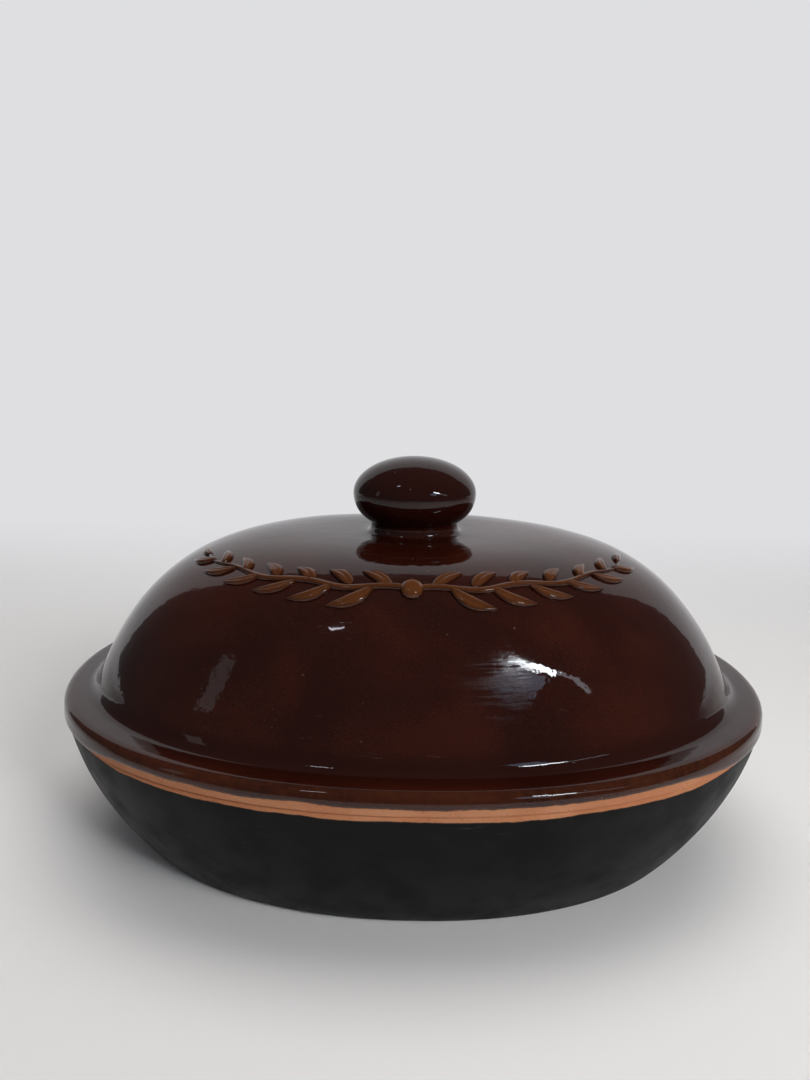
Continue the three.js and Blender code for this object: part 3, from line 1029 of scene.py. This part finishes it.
class BAKER_OT_garland(bpy.types.Operator):
    """Model the raised leaf garland on the front shoulder of the lid"""

    bl_idname = "baker.garland"
    bl_label = "Garland"

    def execute(self, context):
        scene = context.scene
        bowl, lid, garland = scene.baker_bowl, scene.baker_lid, scene.baker_garland
        leaf, parts = model_leaf(garland), [model_stem(garland), model_bud(garland)]
        parts += lay_leaves(leaf, garland)
        bpy.data.objects.remove(leaf)
        deselect()
        for part in parts:
            part.select_set(True)
        context.view_layer.objects.active = parts[0]
        bpy.ops.object.join()
        piece = context.object
        piece.name = piece.data.name = "lid_garland"
        wrap = DomeWrap(scene.baker_outline, bowl, lid, garland)
        dome = bpy.data.objects["lid_glazed"]
        thin = []
        for point in piece.data.vertices:
            x, y, z = point.co
            thin.append(0.25 + 0.60 * between(z, 0.1 * MM, garland.leaf_rise))
            true_place = wrap.lay(x, y, 0.0)
            real_place = dome.closest_point_on_mesh(true_place)[1]
            point.co = wrap.lay(x, y, z) + (real_place - true_place)
        write_values(piece, "thin", thin)
        give_finish(piece, glaze_finish(lid, bowl, "amber_glaze", ornament=True))
        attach(piece, "lid")
        return {"FINISHED"}


# Baking stones


def regrow(piece, low, high):
    """Gives a stone that shrank as it was rounded its height again, and most of its width."""
    heights = [corner[2] for corner in piece.bound_box]
    bottom = min(heights)
    grown = (high.z - low.z) / (max(heights) - bottom)
    widened = 1.0 + 0.75 * (grown - 1.0)
    centre = (low + high) / 2
    for point in piece.data.vertices:
        point.co.x = centre.x + (point.co.x - centre.x) * widened
        point.co.y = centre.y + (point.co.y - centre.y) * widened
        point.co.z = low.z + (point.co.z - bottom) * grown


class BAKER_OT_stones(bpy.types.Operator):
    """Round off the loose baking stones and give each its own kind of rock"""

    bl_idname = "baker.stones"
    bl_label = "Baking stones"

    def execute(self, context):
        stones = context.scene.baker_stones
        fleck = tuple(stones.fleck)
        rocks = [
            stone_finish(name, tuple(body), fleck, veined) for name, body, veined in (
                ("slate_pebble", stones.slate, False), ("ash_pebble", stones.ash, False),
                ("umber_pebble", stones.umber, True), ("veined_slate_pebble", stones.slate, True),
            )
        ]
        for index, node in enumerate(STONE_NODES):
            low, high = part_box(node)
            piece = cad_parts[node].copy()
            piece.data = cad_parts[node].data.copy()
            for key in list(piece.keys()):
                del piece[key]
            piece.parent = None
            piece.matrix_world = Matrix.Identity(4)
            piece.name = piece.data.name = node + "_smooth"
            context.scene.collection.objects.link(piece)
            only(piece)
            with editing("SELECT"):
                bpy.ops.mesh.remove_doubles(threshold=1e-5)
                bpy.ops.mesh.tris_convert_to_quads()
            apply_modifier(piece, "SUBSURF", "Round", levels=2, render_levels=2)
            regrow(piece, low, high)
            shuffled = index * 7 + index // 3
            give_finish(piece, rocks[shuffled % len(rocks)])
            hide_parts(node)
            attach(piece, "bowl")
        return {"FINISHED"}


# Stage


def stage_finish(stage):
    """Pale paper: the floor takes shadows, and the backdrop fades into an even pale field."""
    material, tree, surface, place = new_material("pale_paper")
    parts = add(tree, "ShaderNodeSeparateXYZ")
    tree.links.new(place, parts.inputs[0])
    rise = remap(tree, parts.outputs["Z"], 0.0, 0.30)
    rise = calc(tree, "MAXIMUM", rise, remap(tree, parts.outputs["Y"], 0.14, 0.58))
    path = add(tree, "ShaderNodeLightPath")
    seen = calc(tree, "MAXIMUM", path.outputs["Is Camera Ray"], path.outputs["Is Glossy Ray"])
    seen = calc(tree, "MAXIMUM", seen, path.outputs["Is Transmission Ray"])
    glow = add(tree, "ShaderNodeEmission")
    glow.inputs["Color"].default_value = (*stage.backdrop, 1.0)
    surface.inputs["Base Color"].default_value = (*stage.floor, 1.0)
    surface.inputs["Roughness"].default_value = 0.9
    surface.inputs["Specular IOR Level"].default_value = 0.1
    shown = add(tree, "ShaderNodeMixShader")
    tree.links.new(times(tree, seen, rise), shown.inputs[0])
    tree.links.new(surface.outputs[0], shown.inputs[1])
    tree.links.new(glow.outputs[0], shown.inputs[2])
    output = next(n for n in tree.nodes if n.type == "OUTPUT_MATERIAL")
    tree.links.new(shown.outputs[0], output.inputs["Surface"])
    return material


def build_paper(stage):
    """A sheet that runs back under the baker and curves up behind it, over a wider floor."""
    deselect()
    bpy.ops.mesh.primitive_plane_add(size=1.0, location=(0.0, 0.0, 0.0))
    paper = bpy.context.object
    paper.name = paper.data.name = "paper_sweep"
    for point in paper.data.vertices:
        point.co.x *= stage.backdrop_width
        point.co.y = stage.backdrop_place if point.co.y > 0.0 else -stage.floor_reach
    choose_edges(paper, lambda first, second: min(first.y, second.y) > 0.0)
    with editing():
        bpy.ops.mesh.extrude_region_move(TRANSFORM_OT_translate={"value": (0.0, 0.0, stage.backdrop_height)})
    choose_edges(paper, lambda first, second: min(first.y, second.y) > 0.0 and max(first.z, second.z) < TINY)
    with editing():
        bpy.ops.mesh.bevel(offset=SWEEP_RADIUS, segments=SWEEP_SEGMENTS, affect="EDGES")
    deselect()
    bpy.ops.mesh.primitive_plane_add(size=2 * stage.floor_reach, location=(0.0, 0.0, -0.5 * MM))
    floor = bpy.context.object
    floor.name = floor.data.name = "floor"
    only(floor)
    bpy.ops.object.transform_apply(location=True, rotation=False, scale=False)
    material = stage_finish(stage)
    for sheet in (paper, floor):
        give_finish(sheet, material)


def add_lamp(name, place, aim, size, power, tint, along=(1.0, 0.0, 0.0), glossy=True, spread_angle=180.0):
    """A soft rectangular lamp that faces a point, with its long side along a direction."""
    deselect()
    bpy.ops.object.light_add(type="AREA", location=place)
    lamp = bpy.context.object
    lamp.name = lamp.data.name = name
    back = (Vector(place) - Vector(aim)).normalized()
    across = (Vector(along) - back * back.dot(Vector(along))).normalized()
    turn = Matrix((across, back.cross(across), back)).transposed().to_4x4()
    lamp.matrix_world = Matrix.Translation(place) @ turn
    lamp.data.shape = "RECTANGLE"
    lamp.data.size, lamp.data.size_y = size
    lamp.data.energy = power
    lamp.data.color = tint
    lamp.data.spread = math.radians(spread_angle)
    lamp.visible_glossy = glossy
    lamp.visible_camera = False


def seen_from(aim, azimuth, elevation, distance):
    """The point at a distance from another, in a direction given in degrees round from the front and up."""
    turn, lift = math.radians(azimuth), math.radians(elevation)
    way = Vector((math.sin(turn) * math.cos(lift), -math.cos(turn) * math.cos(lift), math.sin(lift)))
    return Vector(aim) + way * distance


def light_stage():
    """Soft fills that are not mirrored, and weak lamps whose mirror images shine on the glaze."""
    front, left, crown = (0.05, -0.07, 0.105), (-0.09, -0.05, 0.10), (-0.03, -0.07, 0.118)
    slant, upright = (0.374, 0.110, -0.276), (0.0, 0.0, 1.0)
    white, cool = (1.0, 0.99, 0.98), (0.86, 0.90, 1.0)
    pale_blue, blue, violet = (0.88, 0.94, 1.0), (0.58, 0.74, 1.0), (0.92, 0.88, 1.0)
    add_lamp("ceiling_fill", (0.1, 0.30, 1.7), (0.0, 0.12, 0.0), (1.7, 1.2), 7.6, white,
             glossy=False, spread_angle=110.0)
    add_lamp("window_fill", seen_from(front, 44, 30, 1.3), front, (0.7, 0.5), 1.7, white,
             glossy=False, spread_angle=70.0)
    add_lamp("window_bright", seen_from(front, 33, 31, 1.2), front, (0.25, 0.06), 1.9, pale_blue, slant)
    add_lamp("window_trail", seen_from(front, 45, 23, 1.2), front, (0.30, 0.04), 0.11, cool, slant)
    add_lamp("window_haze", seen_from(front, 27, 25, 1.2), front, (0.22, 0.20), 0.26, blue, slant)
    add_lamp("lamp_left", seen_from(crown, -28, 53, 1.5), crown, (0.13, 0.06), 0.35, violet)
    add_lamp("soft_left", seen_from(left, -57, 17, 1.2), left, (0.40, 0.13), 0.07, white, upright)


def light_room(scene):
    """A dim even room that is brighter behind the baker."""
    scene.world = bpy.data.worlds.new("room")
    scene.world.use_nodes = True
    tree = scene.world.node_tree
    tree.nodes.clear()
    parts = add(tree, "ShaderNodeSeparateXYZ")
    tree.links.new(add(tree, "ShaderNodeTexCoord").outputs["Generated"], parts.inputs[0])
    back = remap(tree, parts.outputs["Y"], 0.25, 0.90)
    light, output = add(tree, "ShaderNodeBackground"), add(tree, "ShaderNodeOutputWorld")
    tree.links.new(blend(tree, back, (0.095, 0.095, 0.100), (0.30, 0.30, 0.32)), light.inputs["Color"])
    tree.links.new(light.outputs[0], output.inputs["Surface"])


def aim_camera(scene, stage):
    """The camera at the photograph's viewing angle."""
    deselect()
    bpy.ops.object.camera_add(location=stage.camera_place)
    camera = bpy.context.object
    sight = Vector(stage.camera_sight).normalized()
    right = sight.cross(Vector(stage.camera_up)).normalized()
    turn = Matrix((right, right.cross(sight), -sight)).transposed().to_4x4()
    camera.matrix_world = Matrix.Translation(stage.camera_place) @ turn
    camera.data.lens = stage.lens
    camera.data.sensor_width = 36.0
    camera.data.clip_start, camera.data.clip_end = 0.01, 50.0
    scene.camera = camera


class BAKER_OT_stage(bpy.types.Operator):
    """Set the pale floor, the backdrop, the soft lamps and the camera"""

    bl_idname = "baker.stage"
    bl_label = "Stage"

    def execute(self, context):
        stage = context.scene.baker_stage
        build_paper(stage)
        light_stage()
        light_room(context.scene)
        aim_camera(context.scene, stage)
        context.scene.view_settings.view_transform = "Standard"
        return {"FINISHED"}


class BAKER_PT_panel(bpy.types.Panel):
    """Lists the baker's sizes, colours and pieces"""

    bl_idname = "BAKER_PT_panel"
    bl_label = "Sweet Potato Baker"
    bl_space_type = "VIEW_3D"
    bl_region_type = "UI"
    bl_category = "Baker"

    def draw(self, context):
        for title, settings in SETTINGS:
            box = self.layout.box()
            box.label(text=title)
            group = getattr(context.scene, settings)
            for key in type(group).__annotations__:
                box.prop(group, key)
        for operator in OPERATORS:
            self.layout.operator(operator.bl_idname)


SETTINGS = [
    ("Outline", "baker_outline"), ("Bowl", "baker_bowl"), ("Lid", "baker_lid"),
    ("Garland", "baker_garland"), ("Baking stones", "baker_stones"), ("Stage", "baker_stage"),
]
GROUPS = [BakerOutline, BakerBowl, BakerLid, BakerGarland, BakerStones, BakerStage]
OPERATORS = [BAKER_OT_bowl, BAKER_OT_lid, BAKER_OT_garland, BAKER_OT_stones, BAKER_OT_stage]


def register():
    for each in (*GROUPS, *OPERATORS, BAKER_PT_panel):
        bpy.utils.register_class(each)
    for (_, settings), group in zip(SETTINGS, GROUPS):
        setattr(bpy.types.Scene, settings, PointerProperty(type=group))


def unregister():
    for _, settings in SETTINGS:
        delattr(bpy.types.Scene, settings)
    for each in reversed((*GROUPS, *OPERATORS, BAKER_PT_panel)):
        bpy.utils.unregister_class(each)


def main():
    register()
    bpy.ops.baker.bowl()
    bpy.ops.baker.lid()
    bpy.ops.baker.garland()
    bpy.ops.baker.stones()
    bpy.ops.baker.stage()


if __name__ == "__main__":
    main()
